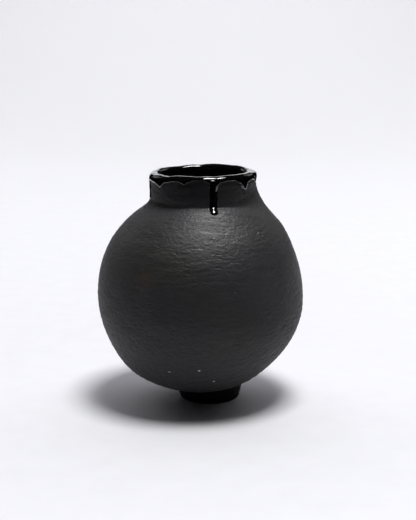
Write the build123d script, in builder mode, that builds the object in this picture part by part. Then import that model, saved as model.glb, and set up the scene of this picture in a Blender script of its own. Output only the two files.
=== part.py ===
from build123d import *

import os
from math import cos, radians, sin, sqrt

# A hand-built globular jar of black clay: a ball-shaped body raised in luted
# rings, a short neck set a little to one side, a small foot set further to the
# same side, and a black glaze that covers the lip and runs down the neck.
#
# Frame: millimetres, +Z up, -Y is the front. The origin is on the table, under
# the centre of the ball. Azimuths are degrees from the front towards +X.

# ---------------------------------------------------------------- sizes
# Ball-shaped body
body_diameter = 180.0
wall = 6.5
body_clearance = 6.7      # lowest point of the ball above the table

# Luting joints between the rings, as latitudes on the ball
base_joint = -31.0
belly_joint = 0.0
shoulder_joint = 36.0
joint_bevel = 2.5         # the inner edge of each joint is this much higher

# Neck and lip
neck_diameter = 91.2
neck_wall = 6.2
neck_height = 29.3        # from the ball's surface to the bare clay's top
neck_offset = 2.75        # towards +X
neck_fillet = 8.0         # smoothed clay where the neck meets the shoulder
lip_flare = 0.7           # the lip stands out this far beyond the neck
lip_thickness = 7.3
lip_height = 8.0          # height of the last coil

# Foot
foot_offset = 8.6         # towards +X
foot_top_diameter = 58.0
foot_bottom_diameter = 53.0
foot_opening = 37.0
foot_edge = 2.0           # rounding of the edges that meet the table

# Glaze
glaze = 0.7
liner = 0.5
band_depth = 12.8         # lowest reach of the glaze band down the neck
run_root = 3.6            # where a run leaves the lip, below the top

# Bare arches in the band's lower edge: azimuth, drop of the crown below the
# top of the lip, half width and height of the arch
scallops = [
    (-72.0, 7.6, 18.0, 6.5),
    (-31.0, 4.4, 15.0, 9.5),
    (-2.0, 3.2, 15.0, 10.5),
    (28.0, 4.8, 17.0, 9.5),
    (63.0, 6.6, 11.5, 8.0),
    (90.0, 5.8, 12.0, 9.0),
    (120.0, 4.6, 14.0, 9.5),
    (152.0, 5.4, 15.0, 9.0),
    (184.0, 4.2, 14.0, 10.0),
    (215.0, 5.6, 13.0, 8.5),
    (246.0, 4.8, 14.0, 9.5),
]

# Runs: azimuth, width, thickness, drop of the tip below the top of the lip
front_run = (10.7, 6.2, 1.3, 34.3)
left_run = (-78.0, 5.0, 1.0, 25.3)
right_run = (49.0, 6.0, 1.1, 14.2)

# ---------------------------------------------------------------- worked out
body_radius = body_diameter / 2
hollow_radius = body_radius - wall
body_centre = body_clearance + body_radius
neck_radius = neck_diameter / 2
bore_radius = neck_radius - neck_wall
lip_radius = neck_radius + lip_flare
lip_rounding = lip_thickness / 2
lip_bore_radius = lip_radius - lip_thickness
clay_top = body_centre + sqrt(body_radius**2 - neck_radius**2) + neck_height
glazed_top = clay_top + glaze
lip_joint = clay_top - lip_height
mid_neck_radius = bore_radius + neck_wall / 2
neck_root = body_centre + hollow_radius * sin(radians(shoulder_joint))
neck_axis = Axis((neck_offset, 0, 0), (0, 0, 1))
foot_axis = Axis((foot_offset, 0, 0), (0, 0, 1))
outer_reach = 2 * body_radius


# ---------------------------------------------------------------- shapes
def ball(radius):
    """Solid ball about the centre of the body."""
    with BuildPart() as solid:
        with Locations((0, 0, body_centre)):
            Sphere(radius)
    return solid.part


def on_ball(radius, latitude):
    """Point of a ball's half section."""
    angle = radians(latitude)
    return (radius * cos(angle), body_centre + radius * sin(angle))


def shell_section(outside, inside, low, high):
    """Half section of a ball's shell; low and high give the outer and inner latitudes."""
    with BuildSketch(Plane.XZ) as section:
        with BuildLine():
            outer = ThreePointArc(
                on_ball(outside, low[0]),
                on_ball(outside, (low[0] + high[0]) / 2),
                on_ball(outside, high[0]),
            )
            top = Line(outer @ 1, on_ball(inside, high[1]))
            inner = ThreePointArc(
                top @ 1,
                on_ball(inside, (low[1] + high[1]) / 2),
                on_ball(inside, low[1]),
            )
            Line(inner @ 1, outer @ 0)
        make_face()
    return section.sketch


def half_section(offset):
    """Upright plane for a half section about an axis that stands off the body's."""
    return Plane(origin=(offset, 0, 0), x_dir=(1, 0, 0), z_dir=(0, -1, 0))


def joint(latitude):
    """Outer and inner latitudes of a bevelled luting joint."""
    return (latitude, latitude + joint_bevel)


def neck_section(skin):
    """Half section of the neck and its lip, from inside the body up, grown by a skin."""
    fillet_x = neck_radius + neck_fillet
    fillet_z = body_centre + sqrt((body_radius + neck_fillet) ** 2 - fillet_x**2)
    towards_body = Vector(-fillet_x, body_centre - fillet_z).normalized()
    middle = (towards_body + Vector(-1, 0)).normalized()
    centre = Vector(fillet_x, fillet_z)
    rounding_z = clay_top - lip_rounding
    with BuildSketch(half_section(neck_offset)) as section:
        with BuildLine():
            fillet_arc = ThreePointArc(
                centre + towards_body * (neck_fillet - skin),
                centre + middle * (neck_fillet - skin),
                centre + Vector(-(neck_fillet - skin), 0),
            )
            side = Line(fillet_arc @ 1, (lip_radius + skin, lip_joint))
            lip_side = Line(side @ 1, (lip_radius + skin, rounding_z))
            crest = ThreePointArc(
                lip_side @ 1,
                (lip_radius - lip_rounding, clay_top + skin),
                (lip_bore_radius - skin, rounding_z),
            )
            lip_inside = Line(crest @ 1, (bore_radius - skin, lip_joint))
            bore = Line(lip_inside @ 1, (bore_radius - skin, neck_root))
            root = Line(bore @ 1, (mid_neck_radius, neck_root))
            Line(root @ 1, fillet_arc @ 0)
        make_face()
    return section.sketch


def neck_body(skin):
    """Neck and lip as one solid, grown by a skin."""
    with BuildPart() as body:
        revolve(neck_section(skin), axis=neck_axis)
    return body.part


def facing(azimuth):
    """Upright plane inside the neck's wall that faces outwards at an azimuth."""
    angle = radians(azimuth)
    across = (cos(angle), sin(angle), 0)
    outwards = (sin(angle), -cos(angle), 0)
    upright = Plane(origin=(neck_offset, 0, 0), x_dir=across, z_dir=outwards)
    return upright.offset(mid_neck_radius)


def bare_arch(azimuth, crown_drop, half_width, height):
    """Cutter for one arch of bare clay in the band's lower edge."""
    with BuildPart() as cutter:
        with BuildSketch(facing(azimuth)):
            with Locations((0, glazed_top - crown_drop - height)):
                Ellipse(half_width, height)
        extrude(amount=neck_wall)
    return cutter.part


def glaze_run(azimuth, width, thickness, tip_drop):
    """Glaze that has run down over the neck, and on to the shoulder where it is long."""
    length = tip_drop - run_root
    with BuildPart() as run:
        with BuildSketch(facing(azimuth)):
            with Locations((0, glazed_top - run_root - length / 2)):
                SlotOverall(length, width, rotation=90)
        extrude(amount=neck_wall + neck_fillet)
        add(swollen_jar(thickness), mode=Mode.INTERSECT)
        add(ball(body_radius), mode=Mode.SUBTRACT)
        add(neck_body(0), mode=Mode.SUBTRACT)
        add(rim_glaze.part, mode=Mode.SUBTRACT)
    return run.part


def swollen_jar(skin):
    """Neck and body together, grown by a skin."""
    with BuildPart() as jar:
        add(ball(body_radius + skin))
        add(neck_body(skin))
    return jar.part


# ---------------------------------------------------------------- clay
with BuildPart() as foot_ring:
    foot_top_radius = foot_top_diameter / 2
    foot_bottom_radius = foot_bottom_diameter / 2
    foot_root = body_centre - sqrt(
        hollow_radius**2 - (foot_offset + foot_top_radius) ** 2
    )
    with BuildSketch(half_section(foot_offset)) as foot_section:
        with BuildLine():
            Polyline(
                (foot_opening / 2, 0),
                (foot_bottom_radius, 0),
                (foot_top_radius, foot_root),
                (foot_opening / 2, foot_root),
                close=True,
            )
        make_face()
        fillet(foot_section.vertices().group_by(Axis.Z)[0], foot_edge)
    revolve(axis=foot_axis)
    add(ball(body_radius), mode=Mode.SUBTRACT)

with BuildPart() as base_bowl:
    pole = (-90, -90)
    revolve(
        shell_section(body_radius, hollow_radius, pole, joint(base_joint)),
        axis=Axis.Z,
    )

with BuildPart() as lower_belly_wall:
    revolve(
        shell_section(
            body_radius, hollow_radius, joint(base_joint), joint(belly_joint)
        ),
        axis=Axis.Z,
    )

with BuildPart() as upper_belly_wall:
    revolve(
        shell_section(
            body_radius, hollow_radius, joint(belly_joint), joint(shoulder_joint)
        ),
        axis=Axis.Z,
    )

with BuildPart() as shoulder_wall:
    revolve(
        shell_section(body_radius, hollow_radius, joint(shoulder_joint), (90, 90)),
        axis=Axis.Z,
    )
    with Locations((neck_offset, 0, body_centre + body_radius)):
        Hole(bore_radius)

with BuildPart() as neck_collar:
    add(neck_body(0))
    add(ball(body_radius), mode=Mode.SUBTRACT)
    split(bisect_by=Plane.XY.offset(lip_joint), keep=Keep.BOTTOM)

with BuildPart() as lip_coil:
    add(neck_body(0))
    split(bisect_by=Plane.XY.offset(lip_joint), keep=Keep.TOP)

# ---------------------------------------------------------------- glaze
with BuildPart() as liner_glaze:
    revolve(
        shell_section(hollow_radius, hollow_radius - liner, (-90, -90), (90, 90)),
        axis=Axis.Z,
    )
    with Locations((neck_offset, 0, body_centre + body_radius)):
        Hole(bore_radius)

with BuildPart() as rim_glaze:
    add(neck_body(glaze))
    add(neck_body(0), mode=Mode.SUBTRACT)
    add(ball(hollow_radius - liner), mode=Mode.SUBTRACT)
    with BuildSketch(Plane.XY.offset(neck_root)):
        with Locations((neck_offset, 0)):
            Circle(outer_reach)
            Circle(mid_neck_radius, mode=Mode.SUBTRACT)
    extrude(amount=glazed_top - band_depth - neck_root, mode=Mode.SUBTRACT)
    for arch in scallops:
        add(bare_arch(*arch), mode=Mode.SUBTRACT)

with BuildPart() as front_glaze_run:
    add(glaze_run(*front_run))

with BuildPart() as left_glaze_run:
    add(glaze_run(*left_run))

with BuildPart() as right_glaze_run:
    add(glaze_run(*right_run))

# ---------------------------------------------------------------- files
pieces = {
    "foot_ring": foot_ring,
    "base_bowl": base_bowl,
    "lower_belly_wall": lower_belly_wall,
    "upper_belly_wall": upper_belly_wall,
    "shoulder_wall": shoulder_wall,
    "neck_collar": neck_collar,
    "lip_coil": lip_coil,
    "liner_glaze": liner_glaze,
    "rim_glaze": rim_glaze,
    "front_glaze_run": front_glaze_run,
    "left_glaze_run": left_glaze_run,
    "right_glaze_run": right_glaze_run,
}

os.makedirs("parts", exist_ok=True)
for label, piece in pieces.items():
    piece.part.label = label
    export_step(piece.part, f"parts/{label}.step")
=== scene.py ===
"""Looks of a hand-built black clay jar with a gloss glaze over its lip.

The jar's outer clay is one continuous scraped skin, cut into the luted rings it was raised
from. The glaze is a coat that follows that skin over the lip and ends in scallops and runs.
Sizes inside the classes are millimetres; meshes are written in metres, in the part's frame.
Azimuths are degrees from the front (-Y) towards +X.
"""

import itertools
import logging
import math
from dataclasses import dataclass, field
from enum import Enum

import bmesh
import bpy
import numpy as np
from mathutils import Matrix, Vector


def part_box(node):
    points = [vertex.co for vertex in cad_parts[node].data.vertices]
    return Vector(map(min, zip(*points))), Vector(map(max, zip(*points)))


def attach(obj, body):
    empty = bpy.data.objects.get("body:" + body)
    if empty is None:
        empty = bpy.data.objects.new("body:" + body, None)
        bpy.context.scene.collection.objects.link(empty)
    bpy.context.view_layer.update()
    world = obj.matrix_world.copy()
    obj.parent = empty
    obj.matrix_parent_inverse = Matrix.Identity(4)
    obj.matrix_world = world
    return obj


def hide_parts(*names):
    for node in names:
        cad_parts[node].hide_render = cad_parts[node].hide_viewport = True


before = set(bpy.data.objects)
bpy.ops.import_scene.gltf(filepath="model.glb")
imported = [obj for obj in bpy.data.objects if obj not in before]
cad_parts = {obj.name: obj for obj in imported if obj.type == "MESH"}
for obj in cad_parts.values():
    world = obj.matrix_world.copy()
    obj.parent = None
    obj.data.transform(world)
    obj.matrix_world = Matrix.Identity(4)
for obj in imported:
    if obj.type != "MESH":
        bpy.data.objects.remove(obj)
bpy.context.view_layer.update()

LOG = logging.getLogger("clay_jar")
MM = 0.001
BODY = "root"
COLUMNS = 640  # points round the jar


class Slot(Enum):
    """Material slots that the record names."""

    CLAY = "black_clay"
    GLAZE = "black_glaze"


class Ends(Enum):
    """How the first and last rows of a mesh are closed."""

    LOOP = "the last row joins the first"
    POLES = "each end row is one point"


# ------------------------------------------------------------------ small tools
def smooth_step(value: np.ndarray) -> np.ndarray:
    """Eases a value from 0 to 1."""
    t = np.clip(value, 0.0, 1.0)
    return t * t * (3.0 - 2.0 * t)


def hump(angle: np.ndarray, centre: float, width: float) -> np.ndarray:
    """Bell-shaped weight of an azimuth about a centre.

    Args:
        angle: azimuths in degrees.
        centre: azimuth of the peak in degrees.
        width: half width in degrees at 1/e.

    Returns:
        Weights from 0 to 1, wrapped round the circle.
    """
    away = (angle - centre + 180.0) % 360.0 - 180.0
    return np.exp(-((away / width) ** 2))


def squared(value: np.ndarray) -> np.ndarray:
    """Turns the sine or cosine of a circle into that of a slightly squared one."""
    return np.sign(value) * np.abs(value) ** 0.78


def outwards(azimuth: np.ndarray) -> np.ndarray:
    """Unit vectors that point level and outwards at azimuths in degrees."""
    turn = np.radians(azimuth)
    return np.stack([np.sin(turn), -np.cos(turn), np.zeros_like(turn)], -1)


def between(grid: np.ndarray, row: float, column: float) -> np.ndarray:
    """Value between the four nearest places of a grid.

    Args:
        grid: rows of points.
        row: place along the rows.
        column: place across them.

    Returns:
        The point there.
    """
    i = min(max(int(row), 0), grid.shape[0] - 2)
    j = min(max(int(column), 0), grid.shape[1] - 2)
    u, v = row - i, column - j
    lower = grid[i, j] * (1.0 - v) + grid[i, j + 1] * v
    upper = grid[i + 1, j] * (1.0 - v) + grid[i + 1, j + 1] * v
    return lower * (1.0 - u) + upper * u


class LatticeNoise:
    """Smooth, repeatable noise in space, from -1 to 1.

    Args:
        seed: picks the pattern.
        cells: number of cells after which it repeats.
    """

    def __init__(self, seed: int, cells: int = 48) -> None:
        self.cells = cells
        self.values = np.random.default_rng(seed).uniform(-1.0, 1.0, (cells,) * 3)

    def at(self, points: np.ndarray) -> np.ndarray:
        """Noise at points given in cells.

        Args:
            points: array whose last axis is x, y, z.

        Returns:
            One value for each point.
        """
        base = np.floor(points).astype(np.int64)
        part = points - base
        part = part * part * (3.0 - 2.0 * part)
        total = np.zeros(points.shape[:-1])
        for corner in itertools.product((0, 1), repeat=3):
            index = (base + corner) % self.cells
            weight = np.prod(np.where(np.array(corner, bool), part, 1.0 - part), -1)
            total += weight * self.values[index[..., 0], index[..., 1], index[..., 2]]
        return total


def grid_normals(points: np.ndarray) -> np.ndarray:
    """Unit normals of a grid whose rows rise and whose columns run round the jar."""
    along = np.gradient(points, axis=0)
    across = np.roll(points, -1, axis=1) - np.roll(points, 1, axis=1)
    normals = np.cross(across, along)
    length = np.linalg.norm(normals, axis=-1, keepdims=True)
    return normals / np.maximum(length, 1e-9)


def loop_normals(rows: np.ndarray) -> np.ndarray:
    """Unit normals of rows that close on themselves."""
    return grid_normals(np.concatenate([rows[-1:], rows, rows[:1]]))[1:-1]


def add_object(name: str, data: bpy.types.ID) -> bpy.types.Object:
    """Adds an object to the scene."""
    made = bpy.data.objects.new(name, data)
    bpy.context.scene.collection.objects.link(made)
    return made


def ring_faces(index: np.ndarray) -> list[list[int]]:
    """Quads between the rows of a grid of point numbers whose columns run round."""
    beside = np.roll(index, -1, axis=1)
    return np.stack([index[:-1], beside[:-1], beside[1:], index[1:]], -1).reshape(-1, 4).tolist()


def make_mesh(
    name: str,
    rows: np.ndarray,
    ends: Ends,
    normals: np.ndarray | None = None,
    grain: np.ndarray | None = None,
) -> bpy.types.Object:
    """Closed mesh from rows of points that run round in loops.

    Args:
        name: the piece's name.
        rows: array (rows, columns, 3) in millimetres.
        ends: how the first and last rows are closed.
        normals: shading normals for each point, or none for plain smooth shading.
        grain: the position that patterns along the surface are read from, in millimetres.

    Returns:
        The new object, at the origin.
    """
    count, columns = rows.shape[:2]
    index = np.arange(count * columns).reshape(count, columns)
    if ends is Ends.LOOP:
        faces = ring_faces(np.concatenate([index, index[:1]]))
    else:
        faces = ring_faces(index[1:-1])
        first, last = int(index[0, 0]), int(index[-1, 0])
        low, high = index[1].tolist(), index[-2].tolist()
        faces += [[first, b, a] for a, b in zip(low, low[1:] + low[:1])]
        faces += [[last, a, b] for a, b in zip(high, high[1:] + high[:1])]
    mesh = bpy.data.meshes.new(name)
    mesh.from_pydata((rows.reshape(-1, 3) * MM).tolist(), [], faces)
    if grain is not None:
        layer = mesh.attributes.new("grain", "FLOAT_VECTOR", "POINT")
        layer.data.foreach_set("vector", (grain.reshape(-1, 3) * MM).ravel())
    mesh.polygons.foreach_set("use_smooth", [True] * len(mesh.polygons))
    piece = add_object(name, mesh)
    if ends is Ends.POLES:
        drop_loose_points(mesh, {*index[0, 1:].tolist(), *index[-1, 1:].tolist()})
    elif normals is not None:
        mesh.normals_split_custom_set_from_vertices(normals.reshape(-1, 3).tolist())
    return piece


def drop_loose_points(mesh: bpy.types.Mesh, unused: set[int]) -> None:
    """Deletes the points of the pole rows that no face uses."""
    work = bmesh.new()
    work.from_mesh(mesh)
    work.verts.ensure_lookup_table()
    bmesh.ops.delete(work, geom=[work.verts[i] for i in sorted(unused)], context="VERTS")
    work.to_mesh(mesh)
    work.free()


def finish_piece(
    piece: bpy.types.Object, material: bpy.types.Material, slot: Slot, *nodes: str
) -> None:
    """Dresses a piece and ties it to the frame.

    Args:
        piece: the finished object.
        material: its material.
        slot: the record's slot that it stands for; not used.
        nodes: CAD nodes that it replaces.
    """
    piece.data.materials.clear()
    piece.data.materials.append(material)
    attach(piece, BODY)
    if nodes:
        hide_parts(*nodes)
    LOG.info("%s: %d faces", piece.name, len(piece.data.polygons))


# ------------------------------------------------------------------ materials
class Graph:
    """Short calls that build a node tree.

    Args:
        tree: the tree, which is cleared first.
    """

    def __init__(self, tree: bpy.types.NodeTree) -> None:
        self.tree = tree
        self.tree.nodes.clear()

    def join(self, source: bpy.types.NodeSocket, target: bpy.types.NodeSocket) -> None:
        """Links two sockets."""
        self.tree.links.new(source, target)

    def fill(self, socket: bpy.types.NodeSocket, value: object) -> None:
        """Sets an input, or links it when the value is a socket."""
        if isinstance(value, bpy.types.NodeSocket):
            self.join(value, socket)
        else:
            socket.default_value = value

    def node(self, kind: str, **inputs: object) -> bpy.types.Node:
        """Adds a node and fills its inputs by name, with _ for a space."""
        made = self.tree.nodes.new(kind)
        for name, value in inputs.items():
            self.fill(made.inputs[name.replace("_", " ")], value)
        return made

    def place(self) -> bpy.types.NodeSocket:
        """Object coordinates."""
        return self.node("ShaderNodeTexCoord").outputs["Object"]

    def grain(self, scale: tuple[float, float, float]) -> bpy.types.NodeSocket:
        """Coordinates that follow the surface, scaled."""
        read = self.node("ShaderNodeAttribute")
        read.attribute_name = "grain"
        return self.node("ShaderNodeMapping", Vector=read.outputs["Vector"], Scale=scale).outputs["Vector"]

    def noise(
        self,
        at: bpy.types.NodeSocket,
        scale: float,
        detail: float = 3.0,
        roughness: float = 0.5,
        distortion: float = 0.0,
    ) -> bpy.types.NodeSocket:
        """Noise from 0 to 1."""
        made = self.node(
            "ShaderNodeTexNoise",
            Vector=at,
            Scale=scale,
            Detail=detail,
            Roughness=roughness,
            Distortion=distortion,
        )
        return made.outputs["Fac"]

    def remap(
        self,
        value: bpy.types.NodeSocket,
        low: float,
        high: float,
        to_low: float = 0.0,
        to_high: float = 1.0,
    ) -> bpy.types.NodeSocket:
        """Moves a value from one range to another, clamped."""
        made = self.node(
            "ShaderNodeMapRange", Value=value, From_Min=low, From_Max=high, To_Min=to_low, To_Max=to_high
        )
        return made.outputs["Result"]

    def blend(
        self,
        share: bpy.types.NodeSocket,
        first: bpy.types.NodeSocket | tuple[float, ...],
        second: bpy.types.NodeSocket | tuple[float, ...],
    ) -> bpy.types.NodeSocket:
        """Mixes two colours."""
        made = self.tree.nodes.new("ShaderNodeMix")
        made.data_type = "RGBA"
        self.join(share, made.inputs[0])
        for socket, value in ((made.inputs[6], first), (made.inputs[7], second)):
            self.fill(socket, (*value, 1.0) if isinstance(value, tuple) else value)
        return made.outputs[2]

    def math(
        self, operation: str, first: bpy.types.NodeSocket, second: bpy.types.NodeSocket | float
    ) -> bpy.types.NodeSocket:
        """One arithmetic step."""
        made = self.tree.nodes.new("ShaderNodeMath")
        made.operation = operation
        self.join(first, made.inputs[0])
        self.fill(made.inputs[1], second)
        return made.outputs[0]

    def plus(
        self, value: bpy.types.NodeSocket, other: bpy.types.NodeSocket, share: float
    ) -> bpy.types.NodeSocket:
        """Adds a share of another value."""
        return self.math("ADD", value, self.math("MULTIPLY", other, share))

    def bump(self, height: bpy.types.NodeSocket, depth: float, strength: float) -> bpy.types.NodeSocket:
        """Relief too fine for the mesh; depth is in metres."""
        made = self.node("ShaderNodeBump", Height=height, Strength=strength, Distance=depth)
        return made.outputs["Normal"]


class Recipe(Graph):
    """A graph that ends in one material's shader.

    Args:
        name: the material's name.
    """

    def __init__(self, name: str) -> None:
        self.material = bpy.data.materials.new(name)
        self.material.use_nodes = True
        super().__init__(self.material.node_tree)
        self.shader = self.node("ShaderNodeBsdfPrincipled")
        self.node("ShaderNodeOutputMaterial", Surface=self.shader.outputs["BSDF"])

    def feed(self, **inputs: object) -> None:
        """Fills the shader's inputs by name, with _ for a space."""
        for name, value in inputs.items():
            self.fill(self.shader.inputs[name.replace("_", " ")], value)


@dataclass(frozen=True)
class ScrapedClay:
    """Matt charcoal clay with scrape marks, soft patches and a fine open grain, with painted shade on the
    foot and the neck and painted floor light low on the body.

    Args:
        name: the material's name.
        dark: colour of the deepest clay.
        light: colour of the drier clay, also blended in as painted floor light low on the body.
        cool: bluish cast of some patches.
        olive: olive cast of others.
        polish: lowest roughness, where the tool burnished.
        rough: highest roughness, where it tore the surface.
        relief: depth of the bump in metres.
        shade_black: colour of the painted shade that blackens the foot, and partly the neck.
        foot_shade_span: heights between which the foot's painted shade ends, in metres.
        floor_light_span: heights between which the painted floor light above the foot ends.
        burnished: heights between which the clay goes from torn to burnished.
        neck_shade_span: heights between which the painted shade of the neck begins.
        olive_rise: heights between which the olive cast grows.
        gleam: specular level of the torn and of the burnished clay.
        plain_gleam: the specular level left on the socket itself, under the linked one. plain_gleam:
            the level for readers that don't follow the nodes.
        neck_shade_dulls: how much less the neck gleams under its painted shade.
        foot_shade_dulls: how much less the foot gleams under its painted shade.
        scrape_scale: scale of the scrape marks round and up the jar.
        fine_scale: scale of the finer ones.
        grit_scale: scale of the open grain.
        mottle_scale: scale of the small blotches.
        patch_scale: scale of the wide patches.
        cast_scale: scale of the changes of cast.
        pit_scale: scale of the fine pits.
        rust: colour of the faint brown patch.
        rust_place: its centre, in metres.
        rust_reach: distances from the centre between which it fades.
    """

    name: str = "scraped_black_clay"
    dark: tuple[float, float, float] = (0.0145, 0.0145, 0.0155)
    light: tuple[float, float, float] = (0.034, 0.034, 0.035)
    cool: tuple[float, float, float] = (0.027, 0.026, 0.034)
    olive: tuple[float, float, float] = (0.028, 0.0285, 0.0240)
    polish: float = 0.40
    rough: float = 0.60
    relief: float = 0.00024
    shade_black: tuple[float, float, float] = (0.0035, 0.0035, 0.0040)
    foot_shade_span: tuple[float, float] = (0.012, 0.020)
    floor_light_span: tuple[float, float] = (0.035, 0.075)
    burnished: tuple[float, float] = (0.090, 0.150)
    neck_shade_span: tuple[float, float] = (0.173, 0.187)
    olive_rise: tuple[float, float] = (0.03, 0.15)
    gleam: tuple[float, float] = (0.24, 0.60)
    plain_gleam: float = 0.45
    neck_shade_dulls: float = 0.55
    foot_shade_dulls: float = 0.22
    scrape_scale: tuple[float, float, float] = (42.0, 42.0, 360.0)
    fine_scale: tuple[float, float, float] = (110.0, 110.0, 1150.0)
    grit_scale: float = 1300.0
    mottle_scale: float = 300.0
    patch_scale: float = 19.0
    cast_scale: float = 14.0
    pit_scale: float = 330.0
    rust: tuple[float, float, float] = (0.052, 0.032, 0.025)
    rust_place: tuple[float, float, float] = (-0.0436, -0.0743, 0.123)
    rust_reach: tuple[float, float] = (0.003, 0.012)

    def build(self) -> bpy.types.Material:
        """Builds the material."""
        r = Recipe(self.name)
        place = r.place()
        up = r.node("ShaderNodeSeparateXYZ", Vector=place).outputs["Z"]
        scrape = r.noise(r.grain(self.scrape_scale), 1.0, 5.0, 0.6, 0.4)
        grit = r.noise(place, self.grit_scale, 3.0, 0.7)
        mottle = r.noise(place, self.mottle_scale, 4.0, 0.65)
        burnish = r.remap(up, *self.burnished)
        # painted shade: the foot, which sits in the jar's own shadow, is blended towards the near-black
        # shade colour and gleams less
        foot = r.remap(up, *self.foot_shade_span, 0.95, 0.0)
        # painted shade: the neck above its root is blended towards the near-black shade colour and gleams
        # less
        neck_shading = r.remap(up, *self.neck_shade_span, 0.0, 0.62)
        worn = r.blend(r.remap(scrape, 0.50, 0.78, 0.0, 0.55), self.tinted(r, place, up, mottle), self.light)
        gritty = r.blend(r.remap(grit, 0.46, 0.28, 0.0, 0.80), worn, self.dark)
        # painted floor light: the lower body is lightened towards the pale clay colour, standing for light
        # bounced up from the floor
        floor_lit = r.blend(r.remap(up, *self.floor_light_span, 0.30, 0.0), gritty, self.light)
        foot_shaded = r.blend(foot, floor_lit, self.shade_black)
        wear = r.plus(r.math("MULTIPLY", scrape, 0.6), mottle, 0.4)
        rough = r.remap(wear, 0.35, 0.65, self.polish, self.rough)
        gleam = r.plus(r.remap(burnish, 0.0, 1.0, *self.gleam), neck_shading, -self.neck_shade_dulls)
        r.feed(
            # the neck's painted shade is blended in last
            Base_Color=r.blend(neck_shading, foot_shaded, self.shade_black),
            Roughness=r.math("ADD", rough, r.remap(burnish, 0.0, 1.0, 0.10, 0.0)),
            Specular_IOR_Level=self.plain_gleam,
            Sheen_Weight=0.05,
            Sheen_Roughness=0.45,
            Normal=self.pitted(r, place, (scrape, grit, mottle)),
        )
        r.feed(Specular_IOR_Level=r.plus(gleam, foot, -self.foot_shade_dulls))
        return r.material

    def tinted(
        self,
        r: Recipe,
        place: bpy.types.NodeSocket,
        up: bpy.types.NodeSocket,
        mottle: bpy.types.NodeSocket,
    ) -> bpy.types.NodeSocket:
        """The clay's colour with its patches, its casts and the rust.

        Args:
            r: the material's graph.
            place: object coordinates.
            up: height.
            mottle: the small blotches.

        Returns:
            The colour.
        """
        patches = r.noise(place, self.patch_scale, 5.0, 0.6, 0.5)
        rise = r.remap(up, *self.olive_rise, -0.09, -0.01)
        cast = r.math("ADD", r.noise(place, self.cast_scale, 3.0, 0.5), rise)
        base = r.blend(r.remap(patches, 0.30, 0.72), self.dark, self.light)
        tint = r.blend(r.remap(cast, 0.42, 0.58), self.cool, self.olive)
        tinted = r.blend(r.remap(mottle, 0.25, 0.75, 0.35, 0.70), base, tint)
        away = r.tree.nodes.new("ShaderNodeVectorMath")
        away.operation = "DISTANCE"
        r.join(place, away.inputs[0])
        away.inputs[1].default_value = self.rust_place
        near = r.remap(away.outputs["Value"], *self.rust_reach, 1.0, 0.0)
        return r.blend(r.math("MULTIPLY", near, mottle), tinted, self.rust)

    def pitted(
        self, r: Recipe, place: bpy.types.NodeSocket, marks: tuple[bpy.types.NodeSocket, ...]
    ) -> bpy.types.NodeSocket:
        """Relief finer than the mesh.

        Args:
            r: the material's graph.
            place: object coordinates.
            marks: the scrape marks, the grit and the blotches.

        Returns:
            The shading normal.
        """
        scrape, grit, mottle = marks
        height = r.plus(scrape, r.noise(r.grain(self.fine_scale), 1.0, 3.0, 0.6), 0.45)
        height = r.plus(r.plus(height, grit, 0.70), mottle, 0.7)
        pits = r.node("ShaderNodeTexVoronoi", Vector=place, Scale=self.pit_scale)
        pit = r.remap(pits.outputs["Distance"], 0.05, 0.32, -0.7, 0.0)
        return r.bump(r.math("ADD", height, pit), self.relief, 0.9)


@dataclass(frozen=True)
class GlossGlaze:
    """Thick black gloss glaze with a faint wave and a few pinholes.

    Args:
        name: the material's name.
        colour: colour in depth.
        thin: colour where it is thin over the clay.
        gloss: roughness of the glassy surface.
        cloud_scale: scale of its clouds.
        wave_scale: scale of its slow wave.
        peel_scale: scale of its fine orange peel.
        relief: depth of the wave in metres.
        glassiness: index of refraction.
        coat: weight of the clearer top.
        coat_gloss: roughness of that top.
    """

    name: str = "black_gloss_glaze"
    colour: tuple[float, float, float] = (0.0022, 0.0021, 0.0026)
    thin: tuple[float, float, float] = (0.0050, 0.0045, 0.0048)
    gloss: float = 0.07
    cloud_scale: float = 90.0
    wave_scale: float = 120.0
    peel_scale: float = 620.0
    relief: float = 0.0007
    glassiness: float = 1.55
    coat: float = 0.6
    coat_gloss: float = 0.04

    def build(self) -> bpy.types.Material:
        """Builds the material."""
        r = Recipe(self.name)
        place = r.place()
        cloud = r.noise(place, self.cloud_scale, 3.0, 0.55)
        wave = r.noise(place, self.wave_scale, 2.0, 0.4)
        peel = r.noise(place, self.peel_scale, 2.0, 0.5)
        r.feed(
            Base_Color=r.blend(r.remap(cloud, 0.35, 0.7), self.colour, self.thin),
            Roughness=r.remap(cloud, 0.3, 0.7, self.gloss * 0.7, self.gloss * 1.6),
            Normal=r.bump(r.plus(wave, peel, 0.20), self.relief, 0.28),
            IOR=self.glassiness,
            Coat_Weight=self.coat,
            Coat_Roughness=self.coat_gloss,
        )
        return r.material


@dataclass(frozen=True)
class PaleGrog:
    """Crushed pale fired clay that shows as specks in the dark body.

    Args:
        name: the material's name.
        light: colour of a clean grain.
        stained: colour where the dark clay still covers it.
        stain_scale: scale of the stains.
        relief: depth of its roughness in metres.
    """

    name: str = "pale_grog"
    light: tuple[float, float, float] = (0.82, 0.77, 0.62)
    stained: tuple[float, float, float] = (0.42, 0.39, 0.31)
    stain_scale: float = 700.0
    relief: float = 0.0001

    def build(self) -> bpy.types.Material:
        """Builds the material."""
        r = Recipe(self.name)
        stain = r.noise(r.place(), self.stain_scale, 3.0, 0.6)
        r.feed(
            Base_Color=r.blend(r.remap(stain, 0.45, 0.65), self.light, self.stained),
            Roughness=r.remap(stain, 0.3, 0.7, 0.6, 0.85),
            Normal=r.bump(stain, self.relief, 0.5),
        )
        return r.material


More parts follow.
